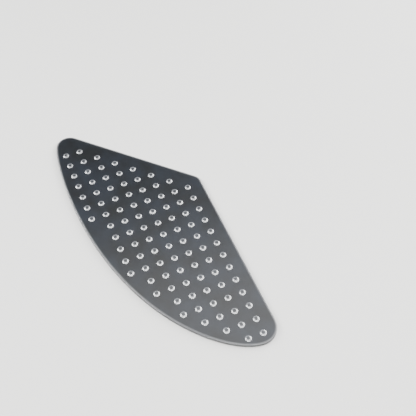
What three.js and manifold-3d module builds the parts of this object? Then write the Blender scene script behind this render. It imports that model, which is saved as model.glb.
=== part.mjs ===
// Motorcycle tank pad: one moulded sheet of clear rubber with round grip nubs over its face.
// It lies on its flat back, on Z = 0, with the nubs up. Sizes are in millimetres.
// +Y runs along the straight inner edge, from the near tip to the slanted end. The inner edge is at +X,
// the long outer curve at -X, and the origin is under the middle of the pad's length and width.
import * as THREE from 'three';
import { mergeVertices } from 'three/addons/utils/BufferGeometryUtils.js';
import Module from 'manifold-3d';

// Sheet
const PAD_LENGTH = 203.5;
const PAD_WIDTH = 89.5;
const SHEET_THICKNESS = 2.6;
const RIM_ROUNDING = 0.6;

// Outline: three rounded corners joined by straight edges, and one long curve on the outer side
const NEAR_TIP_RADIUS = 12;
const CORNER_RADIUS = 7;
const CORNER_FROM_NEAR_END = 129.3; // to the centre of the inner corner's arc
const FAR_TIP_RADIUS = 9;
const FAR_TIP_FROM_OUTER_SIDE = 13.3; // to the centre of the far tip's arc
const FAR_TIP_END_ANGLE = 150; // degrees from +X, where the far tip's arc runs into the outer curve
const WIDEST_FROM_FAR_END = 47.75; // to the point where the outer curve reaches furthest out
const FAR_CURVE_PULL = [8, 12]; // lengths of the handles that shape the short curve by the far tip
const OUTER_CURVE_PULL = [110, 22]; // and of those that shape the long curve down to the near tip

// Nubs: low cones with a flat crown, on a square grid in line with the inner edge
const NUB_PITCH = 10;
const NUB_DIAMETER = 4.3;
const NUB_HEIGHT = 0.6;
const FLANK_SLOPE_ANGLE = 34; // degrees
const CROWN_ROUNDING = 0.9; // from the flank over into the crown
const NUBS_FROM_INNER_EDGE = 10.75; // to the centres of the first column
const NUBS_FROM_NEAR_END = 6.7; // to the centres of the first row
const LEAST_GAP_TO_OUTER_CURVE = 6.5; // from a centre, along its row
const LEAST_GAP_TO_SLANTED_EDGE = 12; // from a centre, along its column

// Fineness of the facets
const ARC_STEP = 10; // degrees
const CURVE_STEP = 5;
const RIM_STEPS = 3;
const NUB_SIDES = 12;
const CROWN_STEPS = 2;

const HALF_LENGTH = PAD_LENGTH / 2;
const HALF_WIDTH = PAD_WIDTH / 2;

const nearTip = {
  centre: new THREE.Vector2(HALF_WIDTH - NEAR_TIP_RADIUS, -HALF_LENGTH + NEAR_TIP_RADIUS),
  radius: NEAR_TIP_RADIUS,
};
const innerCorner = {
  centre: new THREE.Vector2(HALF_WIDTH - CORNER_RADIUS, -HALF_LENGTH + CORNER_FROM_NEAR_END),
  radius: CORNER_RADIUS,
};
const farTip = {
  centre: new THREE.Vector2(-HALF_WIDTH + FAR_TIP_FROM_OUTER_SIDE, HALF_LENGTH - FAR_TIP_RADIUS),
  radius: FAR_TIP_RADIUS,
};

// The angle, from +X, at which one straight edge touches both of two round corners.
function touchingAngle(from, to) {
  const run = to.centre.clone().sub(from.centre);
  return run.angle() - Math.acos((from.radius - to.radius) / run.length());
}

function pointsOfArc(corner, startAngle, endAngle) {
  const arc = new THREE.EllipseCurve(
    corner.centre.x, corner.centre.y, corner.radius, corner.radius, startAngle, endAngle);
  const steps = Math.ceil((endAngle - startAngle) / THREE.MathUtils.degToRad(ARC_STEP));
  return arc.getPoints(steps);
}

// A curve that leaves the start along one direction and reaches the end along another.
function pointsOfCurve(start, startDirection, end, endDirection, [startPull, endPull]) {
  const curve = new THREE.CubicBezierCurve(
    start,
    start.clone().addScaledVector(startDirection, startPull),
    end.clone().addScaledVector(endDirection, -endPull),
    end);
  return curve.getSpacedPoints(Math.ceil(curve.getLength() / CURVE_STEP));
}

function outlinePoints() {
  const nearTipArc = pointsOfArc(nearTip, -Math.PI / 2, 0);
  const slant = touchingAngle(innerCorner, farTip);
  const cornerArc = pointsOfArc(innerCorner, 0, slant);
  const farTipEnd = THREE.MathUtils.degToRad(FAR_TIP_END_ANGLE);
  const farTipArc = pointsOfArc(farTip, slant, farTipEnd);

  const widest = new THREE.Vector2(-HALF_WIDTH, HALF_LENGTH - WIDEST_FROM_FAR_END);
  const leavingFarTip = new THREE.Vector2(-Math.sin(farTipEnd), Math.cos(farTipEnd));
  const down = new THREE.Vector2(0, -1);
  const inward = new THREE.Vector2(1, 0);
  const farCurve = pointsOfCurve(farTipArc.at(-1), leavingFarTip, widest, down, FAR_CURVE_PULL);
  const outerCurve = pointsOfCurve(widest, down, nearTipArc[0], inward, OUTER_CURVE_PULL);

  // Each curve starts on the point where the one before it ends, and the last ends on the first.
  return [
    ...nearTipArc, ...cornerArc, ...farTipArc, ...farCurve.slice(1), ...outerCurve.slice(1, -1),
  ];
}

// How far it is from a point inside the outline to the outline, straight along one direction.
function gapToOutline(outline, point, direction) {
  const across = new THREE.Vector2(-direction.y, direction.x);
  let nearest = 0;
  outline.forEach((start, i) => {
    const fromStart = start.clone().sub(point);
    const fromEnd = outline[(i + 1) % outline.length].clone().sub(point);
    const a = fromStart.dot(across);
    const b = fromEnd.dot(across);
    if (a * b > 0 || a === b) return;
    const along = fromStart.lerp(fromEnd, a / (a - b)).dot(direction);
    if (along > 0 && (nearest === 0 || along < nearest)) nearest = along;
  });
  return nearest;
}

// The grid's points that keep clear of the curve and the slant, with the whole nub on the sheet's flat.
function nubCentres(outline) {
  const leastGaps = [
    [new THREE.Vector2(-1, 0), LEAST_GAP_TO_OUTER_CURVE],
    [new THREE.Vector2(0, 1), LEAST_GAP_TO_SLANTED_EDGE],
    [new THREE.Vector2(0, -1), NUB_DIAMETER / 2 + RIM_ROUNDING],
  ];
  const centres = [];
  for (let y = -HALF_LENGTH + NUBS_FROM_NEAR_END; y < HALF_LENGTH; y += NUB_PITCH) {
    for (let x = HALF_WIDTH - NUBS_FROM_INNER_EDGE; x > -HALF_WIDTH; x -= NUB_PITCH) {
      const centre = new THREE.Vector2(x, y);
      const fits = ([direction, gap]) => gapToOutline(outline, centre, direction) >= gap;
      if (leastGaps.every(fits)) centres.push(centre);
    }
  }
  return centres;
}

// A sheet with all its rims rounded, twice as thick as the pad, whose lower half is cut off.
function sheetGeometry(outline) {
  const wall = SHEET_THICKNESS - RIM_ROUNDING;
  const geometry = new THREE.ExtrudeGeometry(new THREE.Shape(outline), {
    depth: 2 * wall,
    bevelThickness: RIM_ROUNDING,
    bevelSize: RIM_ROUNDING,
    bevelOffset: -RIM_ROUNDING,
    bevelSegments: RIM_STEPS,
  });
  return geometry.translate(0, 0, -wall);
}

function lowerHalfGeometry() {
  const block = new THREE.BoxGeometry(2 * PAD_WIDTH, 2 * PAD_LENGTH, 2 * SHEET_THICKNESS);
  return block.translate(0, 0, -SHEET_THICKNESS);
}

// A nub that stands on Z = 0 and is rooted in the middle of the sheet's thickness.
function nubGeometry() {
  const slope = THREE.MathUtils.degToRad(FLANK_SLOPE_ANGLE);
  const foot = NUB_DIAMETER / 2;
  const root = -SHEET_THICKNESS / 2;
  const flankRise = NUB_HEIGHT - CROWN_ROUNDING * (1 - Math.cos(slope));
  const crownRadius = foot - flankRise / Math.tan(slope) - CROWN_ROUNDING * Math.sin(slope);
  const profile = [new THREE.Vector2(0, root), new THREE.Vector2(foot, root), new THREE.Vector2(foot, 0)];
  for (let step = 0; step <= CROWN_STEPS; step += 1) {
    const tilt = slope * (1 - step / CROWN_STEPS);
    profile.push(new THREE.Vector2(
      crownRadius + CROWN_ROUNDING * Math.sin(tilt),
      NUB_HEIGHT - CROWN_ROUNDING * (1 - Math.cos(tilt))));
  }
  profile.push(new THREE.Vector2(0, NUB_HEIGHT));
  return new THREE.LatheGeometry(profile, NUB_SIDES).rotateX(Math.PI / 2);
}

const wasm = await Module();
wasm.setup();

function toSolid(geometry) {
  const bare = geometry.clone();
  bare.deleteAttribute('normal');
  bare.deleteAttribute('uv');
  const merged = mergeVertices(bare);
  return new wasm.Manifold(new wasm.Mesh({
    numProp: 3,
    vertProperties: new Float32Array(merged.attributes.position.array),
    triVerts: new Uint32Array(merged.index.array),
  }));
}

function toGeometry(solid) {
  const mesh = solid.getMesh();
  const geometry = new THREE.BufferGeometry();
  geometry.setAttribute('position', new THREE.BufferAttribute(mesh.vertProperties, 3));
  geometry.setIndex(new THREE.BufferAttribute(mesh.triVerts, 1));
  geometry.computeVertexNormals();
  return geometry;
}

function padGeometry() {
  const outline = outlinePoints();
  const nub = nubGeometry();
  let pad = toSolid(sheetGeometry(outline)).subtract(toSolid(lowerHalfGeometry()));
  for (const { x, y } of nubCentres(outline)) {
    pad = pad.add(toSolid(nub.clone().translate(x, y, SHEET_THICKNESS)));
  }
  return toGeometry(pad);
}

const smokeClearRubber = new THREE.MeshStandardMaterial({
  color: 0x6c6d70,
  roughness: 0.3,
  metalness: 0,
});

const tankPad = new THREE.Mesh(padGeometry(), smokeClearRubber);
tankPad.name = 'tank_pad';

const model = new THREE.Group();
model.add(tankPad);

export default model;
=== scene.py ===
# %% [markdown]
# # A motorcycle tank pad in smoke-clear rubber
# The real object is one moulding: a thin sheet of see-through rubber that is stuck to the side of a fuel
# tank, with small round nubs for the knee to grip. This lesson models it as one closed mesh, gives it the
# rubber's look, and photographs it on a pale floor.
#
# The imported CAD model comes first. It fixes where everything is, and the size of its box is printed.
# Blender works in metres, and the sizes of a small piece are easier to read in millimetres.

# %% Load the imported model
from math import acos, atan2, cos, degrees, hypot, pi, radians, sin, tan

import bmesh
import bpy
from mathutils import Matrix, Vector
from mathutils.geometry import interpolate_bezier


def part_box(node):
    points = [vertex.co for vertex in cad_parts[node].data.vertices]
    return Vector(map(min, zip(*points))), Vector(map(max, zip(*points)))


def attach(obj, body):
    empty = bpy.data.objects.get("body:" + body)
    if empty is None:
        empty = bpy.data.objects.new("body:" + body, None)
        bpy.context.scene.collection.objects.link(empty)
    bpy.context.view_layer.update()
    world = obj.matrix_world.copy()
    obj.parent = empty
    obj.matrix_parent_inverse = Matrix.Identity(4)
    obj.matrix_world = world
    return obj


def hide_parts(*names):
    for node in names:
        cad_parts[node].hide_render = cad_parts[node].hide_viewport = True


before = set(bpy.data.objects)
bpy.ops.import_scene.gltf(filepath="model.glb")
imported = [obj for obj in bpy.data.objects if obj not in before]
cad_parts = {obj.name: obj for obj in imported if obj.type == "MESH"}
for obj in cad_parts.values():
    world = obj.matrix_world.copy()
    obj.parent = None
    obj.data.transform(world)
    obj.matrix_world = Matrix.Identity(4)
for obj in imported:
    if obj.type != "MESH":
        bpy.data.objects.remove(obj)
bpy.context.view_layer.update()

NODE = "tank_pad"
MM = 0.001
low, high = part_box(NODE)
print("CAD box, mm:", [round((b - a) / MM, 1) for a, b in zip(low, high)])

# %% [markdown]
# ## The camera
# The photograph looks down on the pad at about 54 degrees, from a little to its left. The camera's place was
# worked out from the nubs, which stand on a square grid and so show how the picture narrows with distance.
# It is set here by where it stands, the point of the floor it looks at, and a slight roll.

# %% Set up the camera
CAMERA_AT = Vector((-74.6, -246.2, 385.3)) * MM
LOOKS_AT = Vector((40.7, 4.9, 0.0)) * MM
ROLL = radians(1.6)
FOCAL_LENGTH = 59.6  # both in millimetres, as a camera gives them
SENSOR_WIDTH = 36.0

camera_data = bpy.data.cameras.new("camera")
camera_data.lens = FOCAL_LENGTH
camera_data.sensor_width = SENSOR_WIDTH
camera = bpy.data.objects.new("camera", camera_data)
bpy.context.collection.objects.link(camera)
aim = (LOOKS_AT - CAMERA_AT).to_track_quat("-Z", "Y").to_matrix().to_4x4()
camera.matrix_world = Matrix.Translation(CAMERA_AT) @ aim @ Matrix.Rotation(ROLL, 4, "Z")
bpy.context.scene.camera = camera
print("camera stands", round((CAMERA_AT - LOOKS_AT).length / MM), "mm from what it looks at")

# %% [markdown]
# ## The outline
# Seen from above, the pad has three round corners, two straight edges and one long curve. The corners are
# arcs, and the curve is two Bezier segments that meet where the pad is widest. The straight edges need no
# points of their own: each is just the gap between two arcs.
#
# The sizes are the CAD part's, in millimetres. A corner is given by the centre and the radius of its arc,
# and a Bezier segment by the lengths of the handles at its two ends. The slanted edge touches two arcs, and
# a little trigonometry gives the angle at which it does.

# %% Draw the outline as points
PAD_LENGTH = 203.5
PAD_WIDTH = 89.5
NEAR_TIP_RADIUS = 12
CORNER_RADIUS = 7
CORNER_FROM_NEAR_END = 129.3
FAR_TIP_RADIUS = 9
FAR_TIP_FROM_OUTER_SIDE = 13.3
FAR_TIP_END = radians(150)
WIDEST_FROM_FAR_END = 47.75
FAR_CURVE_PULL = (8, 12)
OUTER_CURVE_PULL = (110, 22)
ARC_STEP = radians(4)
CURVE_STEP = 1.5

RIGHT = PAD_WIDTH / 2
FAR_END = PAD_LENGTH / 2
AHEAD = Vector((0, 1))  # from the near end to the far end
OUTWARD = Vector((-1, 0))
near_centre = Vector((RIGHT - NEAR_TIP_RADIUS, NEAR_TIP_RADIUS - FAR_END))
corner_centre = Vector((RIGHT - CORNER_RADIUS, CORNER_FROM_NEAR_END - FAR_END))
far_centre = Vector((FAR_TIP_FROM_OUTER_SIDE - RIGHT, FAR_END - FAR_TIP_RADIUS))
widest = Vector((-RIGHT, FAR_END - WIDEST_FROM_FAR_END))


def arc_points(centre, radius, start, end):
    """Points along an arc between two angles, a few degrees apart."""
    steps = round((end - start) / ARC_STEP)
    angles = [start + (end - start) * i / steps for i in range(steps + 1)]
    return [centre + radius * Vector((cos(a), sin(a))) for a in angles]


def curve_points(start, start_handle, end_handle, end):
    """Points along a Bezier segment. Its handles are given as steps away from its ends."""
    steps = round((start - end).length / CURVE_STEP)
    return interpolate_bezier(start, start + start_handle, end + end_handle, end, steps + 1)


run = far_centre - corner_centre
slant = atan2(run.y, run.x) - acos((CORNER_RADIUS - FAR_TIP_RADIUS) / run.length)
leaving = Vector((-sin(FAR_TIP_END), cos(FAR_TIP_END)))
near_tip = arc_points(near_centre, NEAR_TIP_RADIUS, -pi / 2, 0)
inner_corner = arc_points(corner_centre, CORNER_RADIUS, 0, slant)
far_tip = arc_points(far_centre, FAR_TIP_RADIUS, slant, FAR_TIP_END)
far_curve = curve_points(far_tip[-1], FAR_CURVE_PULL[0] * leaving, FAR_CURVE_PULL[1] * AHEAD, widest)
outer_curve = curve_points(widest, -OUTER_CURVE_PULL[0] * AHEAD,
                           OUTER_CURVE_PULL[1] * OUTWARD, near_tip[0])
outline = near_tip + inner_corner + far_tip + far_curve[1:] + outer_curve[1:-1]
print("outline:", len(outline), "points; the slant leans", round(degrees(slant), 1), "degrees")

# %% [markdown]
# ## The sheet
# A moulded sheet has a flat back, a short upright wall and a soft rounded rim on top. It could start from a
# box whose sides are pushed into shape, but the outline is already drawn. So the outline becomes a face, the
# face is extruded to the sheet's thickness, and its top and bottom edges are bevelled.

# %% Extrude and round the sheet
THICKNESS = 2.6
RIM_ROUNDING = 0.6
BACK_ROUNDING = 0.15
RIM_STEPS = 5
BACK_STEPS = 2
TINY = 0.001 * MM  # points closer than this are in the same place

pad = bmesh.new()
pad.faces.new([pad.verts.new((p.x * MM, p.y * MM, 0)) for p in outline])
raised = bmesh.ops.extrude_face_region(pad, geom=list(pad.faces))["geom"]
raised = [item for item in raised if isinstance(item, bmesh.types.BMVert)]
bmesh.ops.translate(pad, verts=raised, vec=(0, 0, THICKNESS * MM))
bmesh.ops.recalc_face_normals(pad, faces=pad.faces)


def edges_at(mesh, height):
    """The edges that lie level at a height in millimetres."""
    return [e for e in mesh.edges if all(abs(v.co.z - height * MM) < TINY for v in e.verts)]


for height, size, steps in ((THICKNESS, RIM_ROUNDING, RIM_STEPS), (0, BACK_ROUNDING, BACK_STEPS)):
    bmesh.ops.bevel(pad, geom=edges_at(pad, height), offset=size * MM, segments=steps,
                    profile=0.5, affect="EDGES", material=-1)
print("rounded sheet:", len(pad.faces), "faces")

# %% [markdown]
# Light runs sideways inside clear rubber and leaves it at the rim, so the rim looks lighter than the rest.
# Tracing that light would take very many samples. Instead, the light is painted into the colour: a layer of
# numbers called glow says how much painted light each point gets, 1 on the rounded rim, less on the wall
# below it, and 0 on the back. An inset of the top face makes a narrow band in which the painted light fades
# to 0 inwards. The middle of the top is then left open for the nubs.

# %% Let the rim glow and open the top
# Painted glow: how much of the lighter colour the rim and the wall below it get.
RIM_GLOW = 1.0
WALL_GLOW = 0.15
FADE_WIDTH = 0.9

glow = pad.verts.layers.float.new("glow")
for vertex in pad.verts:
    if vertex.co.z > (THICKNESS - RIM_ROUNDING) * MM + TINY:
        vertex[glow] = RIM_GLOW
    elif vertex.co.z > TINY:
        vertex[glow] = WALL_GLOW

# The top is the face with the most corners that looks up.
top = max(pad.faces, key=lambda face: len(face.verts) * face.normal.z)
bmesh.ops.inset_region(pad, faces=[top], thickness=FADE_WIDTH * MM)
for vertex in top.verts:
    vertex[glow] = 0
bmesh.ops.delete(pad, geom=[top], context="FACES_ONLY")
print("sheet:", len(pad.faces), "faces,", sum(e.is_boundary for e in pad.edges), "open edges on top")

# %% [markdown]
# ## The nubs
# Each nub is a low cone with a flat crown, rounded where the crown meets the flank and again, much less,
# where the flank leaves the sheet. It is round, so one profile is spun about the upright axis. The two
# roundings and the slope of the flank are chosen, and they leave the crown its size. The profile starts with
# a very narrow flat collar, which keeps the smooth shading of the nub from spreading over the sheet.

# %% Spin one nub
NUB_RADIUS = 2.15
NUB_HEIGHT = 0.6
FLANK_SLOPE = radians(34)
FOOT_ROUNDING = 0.15
CROWN_ROUNDING = 0.9
COLLAR = 0.05
NUB_SIDES = 20
CROWN_STEPS = 3

roundings = FOOT_ROUNDING + CROWN_ROUNDING
flank_rise = NUB_HEIGHT - roundings * (1 - cos(FLANK_SLOPE))
crown_radius = NUB_RADIUS - roundings * sin(FLANK_SLOPE) - flank_rise / tan(FLANK_SLOPE)
profile = [
    (NUB_RADIUS + COLLAR, 0),
    (NUB_RADIUS, 0),
    (NUB_RADIUS - FOOT_ROUNDING * sin(FLANK_SLOPE), FOOT_ROUNDING * (1 - cos(FLANK_SLOPE))),
]
for i in range(CROWN_STEPS + 1):
    turn = FLANK_SLOPE * (1 - i / CROWN_STEPS)
    fall = CROWN_ROUNDING * (1 - cos(turn))
    profile.append((crown_radius + CROWN_ROUNDING * sin(turn), NUB_HEIGHT - fall))
profile.append((0, NUB_HEIGHT))

nub = bmesh.new()
points = [nub.verts.new(Vector((x, 0, THICKNESS + z)) * MM) for x, z in profile]
lines = [nub.edges.new(pair) for pair in zip(points, points[1:])]
bmesh.ops.spin(nub, geom=points + lines, cent=(0, 0, 0), axis=(0, 0, 1), angle=2 * pi,
               steps=NUB_SIDES, use_merge=True)
bmesh.ops.remove_doubles(nub, verts=nub.verts, dist=TINY)
nub_top = max(v.co.z for v in nub.verts) / MM
print("one nub:", len(nub.faces), "faces, top at", round(nub_top, 2), "mm, crown",
      round(2 * crown_radius, 2), "mm across")

# %% [markdown]
# The nubs stand on a square grid in line with the straight inner edge. A row runs from that edge out to the
# curve, and a column stops short of the slanted edge. So the grid needs no list of places, only the gaps
# that it keeps: from each of its points, a line is cast to the outline in three directions.

# %% Find where the nubs stand
PITCH = 10
FROM_INNER_EDGE = 10.75
FROM_NEAR_END = 6.7
GAP_TO_CURVE = 6.5
GAP_TO_SLANT = 12
GAP_TO_NEAR_RIM = NUB_RADIUS + RIM_ROUNDING


def gap_to_outline(point, direction):
    """How far it is from a point to the outline, straight along one direction."""
    across = Vector((-direction.y, direction.x))
    gaps = []
    for start, end in zip(outline, outline[1:] + outline[:1]):
        a = (start - point).dot(across)
        b = (end - point).dot(across)
        if a * b <= 0 and a != b:  # this edge of the outline crosses the line
            gaps.append((start - point).lerp(end - point, a / (a - b)).dot(direction))
    return min((gap for gap in gaps if gap > 0), default=0)


def nub_fits(point):
    """Whether a nub at this point of the grid keeps its gaps."""
    return (gap_to_outline(point, OUTWARD) >= GAP_TO_CURVE
            and gap_to_outline(point, AHEAD) >= GAP_TO_SLANT
            and gap_to_outline(point, -AHEAD) >= GAP_TO_NEAR_RIM)


rows = range(int(PAD_LENGTH / PITCH) + 1)
columns = range(int(PAD_WIDTH / PITCH) + 1)
first = Vector((RIGHT - FROM_INNER_EDGE, FROM_NEAR_END - FAR_END))
grid = [first + Vector((-column, row)) * PITCH for row in rows for column in columns]
centres = [point for point in grid if nub_fits(point)]
print("nubs:", len(centres))

# %% [markdown]
# The nubs could be joined to the sheet with a Boolean, but it would have to cut the sheet once for each of
# them. Here, copies of the nub go onto the grid inside the sheet's mesh, and one fill closes the top: it
# makes the flat between the rim's open loop and the feet of the nubs, and shares their vertices. The result
# is one closed skin with nothing inside it. Rubber that lets light through needs that, because every hidden
# face would show.

# %% Join the nubs to the sheet
nub_mesh = bpy.data.meshes.new("nub")
nub.to_mesh(nub_mesh)
for centre in centres:
    before = len(pad.verts)
    pad.from_mesh(nub_mesh)
    pad.verts.ensure_lookup_table()
    bmesh.ops.translate(pad, verts=pad.verts[before:], vec=(centre.x * MM, centre.y * MM, 0))
nub.free()
bpy.data.meshes.remove(nub_mesh)

open_edges = [e for e in pad.edges if e.is_boundary]
bmesh.ops.triangle_fill(pad, use_beauty=True, use_dissolve=False, edges=open_edges, normal=(0, 0, 1))
bmesh.ops.recalc_face_normals(pad, faces=pad.faces)
volume = pad.calc_volume() / (10 * MM) ** 3
print("pad:", len(pad.faces), "faces,", sum(not e.is_manifold for e in pad.edges), "open edges,",
      round(volume, 1), "cubic centimetres")

# %% [markdown]
# The nubs look lighter than the sheet for the same reason as the rim does, but less so, and that light is
# painted into their colour as well. A second layer, flank, says how steep each point of a nub is, from 0 on
# the flat crown to 1 on the flank. The nubs' painted glow follows it here, and their gloss will follow it in
# the material.

# %% Let the nubs glow
# Painted glow on the nubs, from the crown out to the flank.
CROWN_GLOW = 0.2
FLANK_GLOW = 0.6
STEEPEST = sin(FLANK_SLOPE)

flank = pad.verts.layers.float.new("flank")
pad.normal_update()
for vertex in pad.verts:
    if vertex.co.z > THICKNESS * MM + TINY:
        vertex[flank] = min(1, hypot(vertex.normal.x, vertex.normal.y) / STEEPEST)
        vertex[glow] = CROWN_GLOW + (FLANK_GLOW - CROWN_GLOW) * vertex[flank]
print("of", len(pad.verts), "points", sum(v[glow] > 0 for v in pad.verts), "glow")

# %% [markdown]
# All edges of the piece are rounded by geometry, so the whole mesh can be shaded smooth. The object stands
# at the origin, unturned, and its place is in its mesh, as it is with the CAD part.

# %% Make the piece
for face in pad.faces:
    face.smooth = True
pad_mesh = bpy.data.meshes.new("moulded_pad")
pad.to_mesh(pad_mesh)
pad.free()
moulded_pad = bpy.data.objects.new("moulded_pad", pad_mesh)
bpy.context.collection.objects.link(moulded_pad)
print(moulded_pad.name, "stands at", tuple(moulded_pad.location))

# %% [markdown]
# ## Colours
# Colours are written as sRGB hex values, as an artist picks them, but a shader wants linear light. One
# function turns them, with the curve that the sRGB standard gives.

# %% Turn colours linear
OPAQUE = 1.0


def linear(hex_colour):
    """The linear colour that a shader needs, from an sRGB hex value."""
    channels = [int(hex_colour[i:i + 2], 16) / 255 for i in (1, 3, 5)]
    light = [c / 12.92 if c <= 0.04045 else ((c + 0.055) / 1.055) ** 2.4 for c in channels]
    return light + [OPAQUE]


print("middle grey, #808080, is", round(linear("#808080")[0], 3), "in linear light")

# %% [markdown]
# ## The rubber
# The pad is injection-moulded thermoplastic polyurethane, a clear rubber with a smoke tint. The eye sees a
# dark grey sheet with a satin face that lets a little of the floor through.
#
# A material's nodes could be placed by hand in the shader editor. In a script, one function adds a node with
# its settings and inputs, so that the material reads as a list of its nodes.

# %% Start the material


def new_material(name):
    """An empty material, without the nodes that Blender puts in a new one."""
    material = bpy.data.materials.new(name)
    material.use_nodes = True
    material.node_tree.nodes.clear()
    return material


def add_node(material, kind, settings=None, inputs=None):
    """One node of a kind, its settings, and for each input a value or the output that feeds it."""
    node = material.node_tree.nodes.new(kind)
    for name, value in (settings or {}).items():
        setattr(node, name, value)
    for name, value in (inputs or {}).items():
        if isinstance(value, bpy.types.NodeSocket):
            material.node_tree.links.new(value, node.inputs[name])
        else:
            node.inputs[name].default_value = value
    return node


rubber = new_material("smoke_clear_tpu_moulded")
print("new material:", rubber.name)

# %% [markdown]
# The tint isn't quite even: soft clouds carry it between a darker grey and a lighter, bluer one. The rim and
# the nubs look bright, because the light that travels inside clear rubber comes out there. That light is
# painted: glow mixes the tint with a lighter colour.
#
# A Mix node has sockets for numbers, vectors and colours under the same names. So the ones for colours are
# found by their place in the node's list of sockets.

# %% Tint the rubber
DARK_SMOKE = "#15181b"
LIGHT_SMOKE = "#20262f"
# The lighter colour of the painted glow on the rim and the nubs.
LIT_RUBBER = "#747679"
CLOUD_SIZE = 18 * MM
CLOUD_DETAIL = 3
CLOUD_LOW = 0.35  # most of the noise lies between these two, which become 0 and 1
CLOUD_HIGH = 0.65
FACTOR = 0
FIRST = 6
SECOND = 7
MIXED = 2

place = add_node(rubber, "ShaderNodeTexCoord").outputs["Object"]
clouds = add_node(rubber, "ShaderNodeTexNoise", None,
                  {"Vector": place, "Scale": 1 / CLOUD_SIZE, "Detail": CLOUD_DETAIL})
stretched = add_node(rubber, "ShaderNodeMapRange", None,
                     {"Value": clouds.outputs["Fac"], "From Min": CLOUD_LOW, "From Max": CLOUD_HIGH})
smoke = add_node(rubber, "ShaderNodeMix", {"data_type": "RGBA"},
                 {FACTOR: stretched.outputs["Result"],
                  FIRST: linear(DARK_SMOKE), SECOND: linear(LIGHT_SMOKE)})
lit = add_node(rubber, "ShaderNodeAttribute", {"attribute_name": "glow"})
# The painted glow: glow mixes the tint with the lighter colour.
colour = add_node(rubber, "ShaderNodeMix", {"data_type": "RGBA"},
                  {FACTOR: lit.outputs["Fac"], FIRST: smoke.outputs[MIXED], SECOND: linear(LIT_RUBBER)})
print("clouds", round(CLOUD_SIZE / MM), "mm across")

# %% [markdown]
# Thin soft rubber never lies quite flat, so shallow waves make its reflections wander a little. The mould
# was blasted, which leaves a satin grain on the face. The real grain is under a tenth of a millimetre. It is
# drawn at 0.8 mm, since a finer one wouldn't show. Both are noise that a Bump node turns into a tilt of the
# surface, and the second bump adds to the first.

# %% Give the face its relief
RELIEF = (  # what it is, its size and its depth in mm, the noise's detail, the bump's strength
    ("waves", 5, 0.04, 1, 0.5),
    ("grain", 0.8, 0.01, 2, 0.4),
)

bumped = {}
for name, size, depth, detail, strength in RELIEF:
    noise = add_node(rubber, "ShaderNodeTexNoise", {"label": name},
                     {"Vector": place, "Scale": 1 / (size * MM), "Detail": detail})
    bump = add_node(rubber, "ShaderNodeBump", {"label": name},
                    {"Strength": strength, "Distance": depth * MM, "Height": noise.outputs["Fac"], **bumped})
    bumped = {"Normal": bump.outputs["Normal"]}
    print(name, size, "mm wide and", depth, "mm deep")

# %% [markdown]
# The flanks of the nubs differ from the sheet. They came out of drilled and polished holes in the mould, so
# they have a clear shine of their own, which is a coat over the satin. They also scatter the light that
# comes out there, instead of letting the floor through. Flank, stored on the mesh, blends three of the
# shader's inputs for that. A roughness near 0.3 is the satin: it blurs a mirrored lamp but keeps its shape.
#
# The other numbers hold for the whole pad. Clear plastics have an index of refraction near 1.5. The shine is
# above the 0.5 that goes with it, because a clear sheet mirrors light from its back as well as its face.

# %% Put the rubber together
REFRACTION = 1.5
SHINE = 0.9
COAT_ROUGHNESS = 0.3
SHEET_AND_FLANK = {
    "Roughness": (0.28, 0.26),
    "Transmission Weight": (0.7, 0.1),
    "Coat Weight": (0.1, 1.0),
}

steep = add_node(rubber, "ShaderNodeAttribute", {"attribute_name": "flank"})
blends = {}
for name, (on_sheet, on_flank) in SHEET_AND_FLANK.items():
    blend = add_node(rubber, "ShaderNodeMapRange", None,
                     {"Value": steep.outputs["Fac"], "To Min": on_sheet, "To Max": on_flank})
    blends[name] = blend.outputs["Result"]
shader = add_node(rubber, "ShaderNodeBsdfPrincipled", None,
                  {"Base Color": colour.outputs[MIXED], "IOR": REFRACTION, "Specular IOR Level": SHINE,
                   "Coat IOR": REFRACTION, "Coat Roughness": COAT_ROUGHNESS, **blends, **bumped})
add_node(rubber, "ShaderNodeOutputMaterial", None, {"Surface": shader.outputs["BSDF"]})
pad_mesh.materials.append(rubber)
print("rubber:", len(rubber.node_tree.nodes), "nodes")

# %% [markdown]
# ## Floor and light
# The floor is a plain pale sheet just under the pad. It has matt wall paint on it, put on with a roller. To
# the eye that is an even grey-white with no mirror image in it, so nothing on the floor draws attention.

# %% Lay the floor
FLOOR_SIZE = 4.0
FLOOR_DROP = 0.02 * MM
FLOOR_COLOUR = "#acacaa"
FLOOR_ROUGHNESS = 0.8

floor_build = bmesh.new()
bmesh.ops.create_grid(floor_build, x_segments=1, y_segments=1, size=FLOOR_SIZE / 2)  # half a side
bmesh.ops.translate(floor_build, verts=floor_build.verts, vec=(0, 0, -FLOOR_DROP))
floor_mesh = bpy.data.meshes.new("floor")
floor_build.to_mesh(floor_mesh)
floor_build.free()
floor = bpy.data.objects.new("floor", floor_mesh)
bpy.context.collection.objects.link(floor)

paint = new_material("matt_wall_paint_rolled")
matt = add_node(paint, "ShaderNodeBsdfPrincipled", None,
                {"Base Color": linear(FLOOR_COLOUR), "Roughness": FLOOR_ROUGHNESS})
add_node(paint, "ShaderNodeOutputMaterial", None, {"Surface": matt.outputs["BSDF"]})
floor_mesh.materials.append(paint)
print("floor:", FLOOR_SIZE, "m square")

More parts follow.
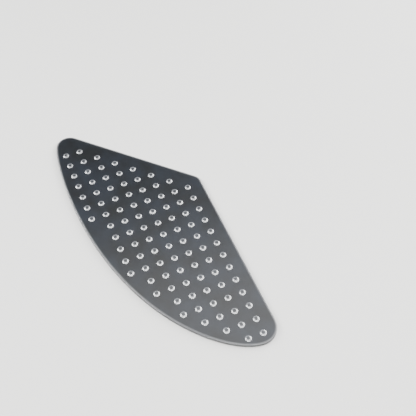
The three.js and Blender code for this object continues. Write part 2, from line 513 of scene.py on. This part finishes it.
# %% [markdown]
# A nub is so small and smooth that it shows the lights as a curved mirror does. In the photograph each nub
# wears a bright U that opens away from the camera. The sides and the near part of a flank mirror what hangs
# to the left, in front and to the right, so three long soft boxes hang there, in a horseshoe.
#
# Two weaker boxes do the rest. The sheet mirrors a patch of the ceiling, and the veil box hangs only where
# the near half looks, so the sheet darkens with distance as in the photograph. The back box stands low
# behind the pad, where the far flanks mirror it.

# %% Hang the soft boxes
BOXES = (  # name, middles of the two ends and width in metres, brightness of the face
    ("left_box", (-0.61, 0.83, 0.36), (-0.70, -0.10, 0.85), 0.36, 28),
    ("front_box", (-0.55, -0.40, 0.88), (0.65, -0.50, 0.80), 0.34, 21),
    ("right_box", (0.75, -0.35, 0.75), (0.83, 0.68, 0.20), 0.38, 24),
    ("veil_box", (-0.25, 0.22, 1.0), (0.85, 0.12, 0.98), 0.7, 2.9),
    ("back_box", (-0.7, 1.3, 0.35), (1.1, 1.3, 0.35), 0.4, 1.2),
)


def soft_box(name, start, end, width, brightness):
    """A long box between two points that faces the pad. Its power grows with its size."""
    start = Vector(start)
    end = Vector(end)
    middle = (start + end) / 2
    along = (end - start).normalized()
    # An area light shines along its own -Z, so its +Z points away from the pad.
    back = (middle - middle.dot(along) * along).normalized()
    data = bpy.data.lights.new(name, "AREA")
    data.shape = "RECTANGLE"
    data.size = (end - start).length
    data.size_y = width
    data.energy = brightness * pi * data.size * data.size_y
    light = bpy.data.objects.new(name, data)
    turn = Matrix((along, back.cross(along), back)).transposed().to_4x4()
    light.matrix_world = Matrix.Translation(middle) @ turn
    bpy.context.collection.objects.link(light)
    return light


for box in BOXES:
    light = soft_box(*box)
    print(light.name, round(light.data.energy), "W")

# %% [markdown]
# The rest of the studio is a dim even light from all around. It keeps the shadow under the rim soft.

# %% Light the room
ROOM_COLOUR = "#f2f3f5"
ROOM_STRENGTH = 0.14

world = bpy.data.worlds.new("studio")
world.use_nodes = True
room = world.node_tree.nodes["Background"].inputs
room["Color"].default_value = linear(ROOM_COLOUR)
room["Strength"].default_value = ROOM_STRENGTH
bpy.context.scene.world = world
print("room light:", ROOM_STRENGTH)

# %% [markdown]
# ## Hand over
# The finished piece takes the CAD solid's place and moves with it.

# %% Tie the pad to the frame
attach(moulded_pad, "root")
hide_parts(NODE)
